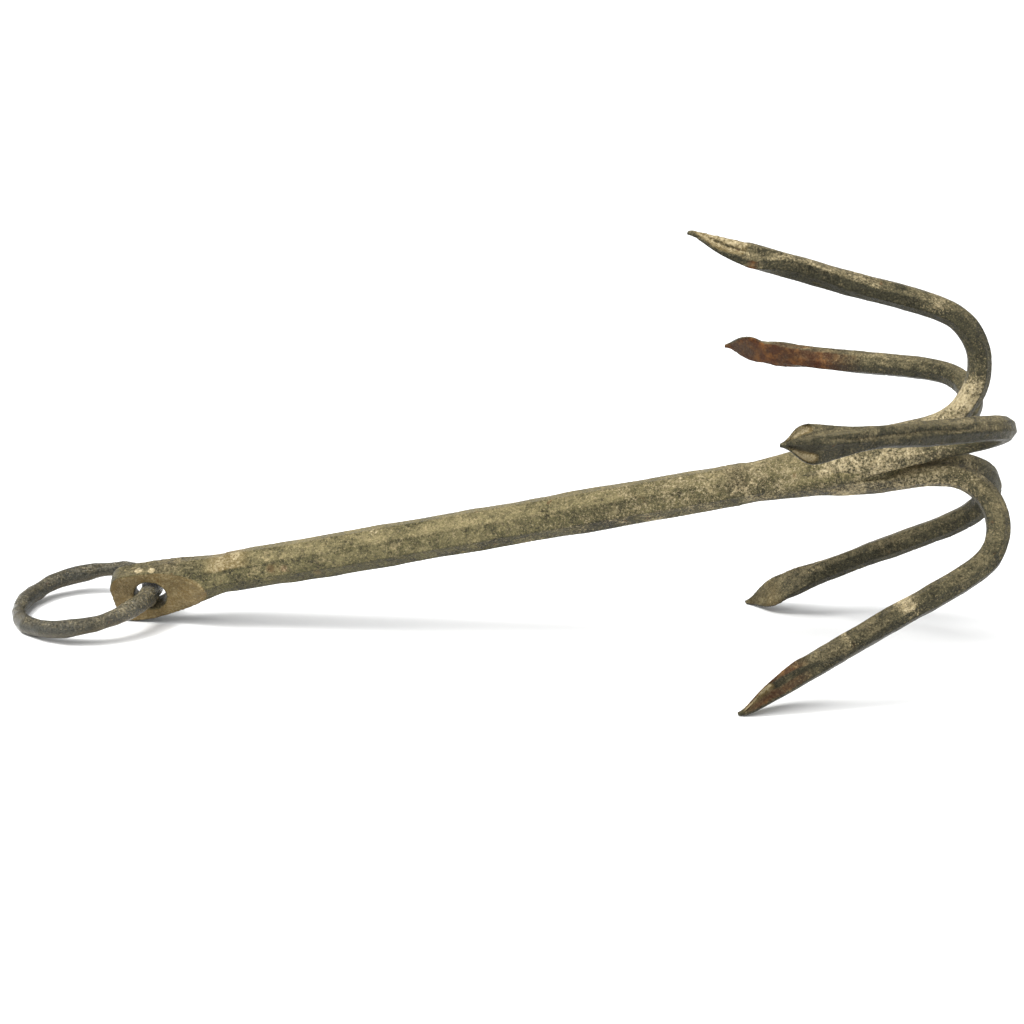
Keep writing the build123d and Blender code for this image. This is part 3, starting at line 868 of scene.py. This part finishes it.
# %% Laps and palms
Lap = namedtuple("Lap", "start end across")      # in millimetres
LAPS = {"near_upper_arm": Lap(32, 128, 0.6), "top_arm": Lap(42, 118, 3.4)}
LAP_DEPTH = 0.45
Palm = namedtuple("Palm", "rib_growth trough_end pinch depth")
PALMS = {
    "top_arm": Palm(0.0, 0.92, 0.0, 1.1),        # no rib
    "far_upper_arm": Palm(0.20, 0.66, 0.20, 2.0),
    "far_lower_arm": Palm(0.20, 0.66, 0.10, 2.0),
    "near_lower_arm": Palm(0.10, 0.66, 0.0, 2.0),
    "near_upper_arm": Palm(0.20, 0.66, 0.0, 2.0),
}
PALM_LENGTH = 38 * MM
LEAF_HALF_WIDTH = 10.5 * MM
RIB_START = 0.5 * MM         # half of the rib's width at the bill
RIM_RISE = 0.3


def lap_line(arm, back, across, outside):
    """1 on the lap that runs along an arm's outer side, where the iron was folded over."""
    if arm.node not in LAPS:
        return np.zeros(len(back))
    lap = LAPS[arm.node]
    line = lap.across + 0.9 * wander(back, 64 * MM, 2.0)
    near_line = ramp(abs(across / MM - line), 1.3, 0.3)
    return near_line * band(back / MM, lap.start, lap.end, 5) * (outside > 0)


def palm_parts(arm, back, across, outside):
    """The trough, the rim and the whole of a palm's outer side, each from 0 to 1."""
    palm = PALMS[arm.node]
    share = back / PALM_LENGTH
    leaf = LEAF_HALF_WIDTH * ramp(share, -0.1, 0.55) * (1 - 0.35 * ramp(share, 0.6, 1.0))
    rib = RIB_START + back * palm.rib_growth if palm.rib_growth else -leaf
    middle = (rib + leaf) / 2
    reach = np.maximum((leaf - rib) / 2, 1e-5)
    on_palm = band(share, 0.10, palm.trough_end, 0.08) * ramp(outside, -6 * MM, -1 * MM)
    trough = np.clip(1 - ((abs(across) - middle) / reach) ** 2, 0, 1) * on_palm
    rim = ramp(abs(across), leaf * 0.82, leaf * 0.95) * on_palm
    return trough, rim, on_palm


print("laps:", list(LAPS), "ribbed palms:", [name for name in PALMS if PALMS[name].rib_growth])

# %% [markdown]
# ## The arms
# All five are made by one function. It narrows the neck behind the palm, lets the bar swell
# a little, presses the palm and the lap, and sinks the root's thin end into the shank, where
# it was welded. After the hammer it measures every point's place again for the marks.

# %% Arms
ARM_CELL = 0.7 * MM
NECK_BEHIND_PALM = (25 * MM, 34 * MM, 6 * MM)    # start, end and softness of the pinch
SPREAD_OF_PALM = (8 * MM, 16 * MM, 5 * MM)       # where the iron went that the pinch moved
ROOT_BLEND = 55 * MM         # the scarf's thin end sinks into the bar over this length
ROOT_SINK = 3.6 * MM


def pinch_neck(mesh, pinch, back, across, across_way):
    """Narrows an arm behind its palm, and widens the palm by what was moved."""
    narrower = pinch * (band(back, *NECK_BEHIND_PALM) - 0.4 * band(back, *SPREAD_OF_PALM))
    place_points(mesh, read(mesh, "points") - np.outer(across * narrower, across_way))


def sink_root(mesh, back):
    """Moves a root towards the shank's axis, most where the root begins."""
    points = read(mesh, "points")
    offset = points - shank_start
    spoke = offset - np.outer(offset @ along_shank, along_shank)
    spoke /= np.linalg.norm(spoke, axis=1)[:, None]
    start = back.max()
    points -= spoke * (ROOT_SINK * ramp(back, start - ROOT_BLEND, start))[:, None]
    place_points(mesh, points)


def make_arm(arm, seed):
    """One forged arm with its marks."""
    piece = blank_of(arm.node, ARM_CELL, 1)
    palm = PALMS[arm.node]
    points = read(piece.data, "points")
    back, across, outside, out_way, across_way = arm_places(arm, points)
    pinch_neck(piece.data, palm.pinch, back, across, across_way)
    normals = read(piece.data, "normals")
    facing_out = ramp((normals * out_way).sum(1), 0.1, 0.6)
    swell = 0.18 * wander(back, 85 * MM, seed) + 0.15 * wander(back + across, 37 * MM, seed + 2)
    swell = swell * ramp(back, 40 * MM, 70 * MM) * MM
    trough, rim, _ = palm_parts(arm, back, across, outside)
    swell += (RIM_RISE * rim - palm.depth * trough) * MM * facing_out
    swell -= LAP_DEPTH * MM * lap_line(arm, back, across, outside)
    move_out(piece.data, swell)
    sink_root(piece.data, back)
    piece = hammer(piece, ARM_IRON, **{
        "Dent Size": 0.013, "Dent Depth": 0.0005, "Pit Size": 0.0036, "Pit Depth": 0.0003,
        "Tooth": 0.00018, "Seed": seed})
    back, across, outside, out_way, _ = arm_places(arm, read(piece.data, "points"))
    normals = read(piece.data, "normals")
    out_share = (normals * out_way).sum(1)
    trough, rim, on_palm = palm_parts(arm, back, across, outside)
    marks = {name: np.zeros(len(back)) for name in ("crust", "ochre", "rust", "dark")}
    marks["crust"] += 0.10 + 0.60 * ramp(back, 195 * MM, 245 * MM)
    marks["crust"] += 1.0 * ramp(trough, 0.3, 0.9) * ramp(out_share, 0.1, 0.5)
    marks["ochre"] += ramp(trough, 0.1, 0.6) * ramp(out_share, 0.1, 0.5)
    marks["dark"] += 0.35 * ramp(back, 215 * MM, 150 * MM)
    marks["dark"] += 0.9 * rim + 0.6 * on_palm * ramp(trough, 0.3, 0.0)
    marks["dark"] += 0.8 * lap_line(arm, back, across, outside)
    place_dabs(arm.node, marks, back, normals)
    for name, values in marks.items():
        store(piece.data, name, values)
    measure_edges(piece.data)
    print(arm.node, len(piece.data.polygons), "cells, bill at", round(float(back.min()) / MM, 1))
    return piece


arm_pieces = {arm.node: make_arm(arm, 1.0 + 0.37 * row) for row, arm in enumerate(ARMS)}

# %% [markdown]
# ## The ring
# The ring was bent from a hammered rod and scarf-welded where it is hidden in the eye, so the
# wire is thicker there, and it is never quite round. Its marks follow the turn round the
# ring, where 0 is at the eye: the part in the eye keeps its crust and the rest is rubbed dark.

# %% Ring
RING_CELL = 0.45 * MM
RING_SWELL = 0.9 * MM
ring = blank_of("ring", RING_CELL, 1)
points = read(ring.data, "points")
middle = points.mean(0)
to_hole = hole - middle
to_hole /= np.linalg.norm(to_hole)
flat_way = np.linalg.svd(points - middle, full_matrices=False)[2][2]
side_way = np.cross(flat_way, to_hole)


def turn_round_ring(points):
    """The angle of each point round the ring, from the eye."""
    return np.arctan2((points - middle) @ side_way, (points - middle) @ to_hole)


turn = turn_round_ring(points)
swell = RING_SWELL * ramp(abs(turn), radians(75), radians(20))
swell += 0.30 * MM * np.sin(3 * turn + 1.0) + 0.22 * MM * np.sin(7 * turn + 0.4)
move_out(ring.data, swell)
ring = hammer(ring, RING_IRON, **{
    "Dent Size": 0.010, "Dent Depth": 0.0015, "Pit Size": 0.0030, "Pit Depth": 0.00025,
    "Tooth": 0.00010, "Seed": 2.9})
normals = read(ring.data, "normals")
turn = turn_round_ring(read(ring.data, "points"))
store(ring.data, "crust", 0.25 * ramp(abs(turn), radians(80), radians(40)) + 0.05)
store(ring.data, "ochre", 0.25 * ramp(normals[:, 2], 0.1, -0.6))
store(ring.data, "rust", np.zeros(len(turn)))
store(ring.data, "dark", 0.85 * ramp(abs(turn), radians(40), radians(80)) + 0.15)
measure_edges(ring.data)
print("ring:", len(ring.data.polygons), "cells")

# %% [markdown]
# ## Putting the pieces on their bodies
# Every piece rides on the body that carries its CAD node and takes the place of that node,
# which is hidden. Its finish was set by the hammer tree. Only the ring is on a body of its
# own, so only the ring swings when the hinge turns.

# %% Ride
finished = [(shank, "shank", "shank_iron"), (ring, "ring", "ring_iron")]
finished += [(piece, name, "arm_iron") for name, piece in arm_pieces.items()]
for piece, name, slot_name in finished:
    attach(piece, "ring" if name == "ring" else "anchor")
    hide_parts(name)
print("pieces:", len(finished))
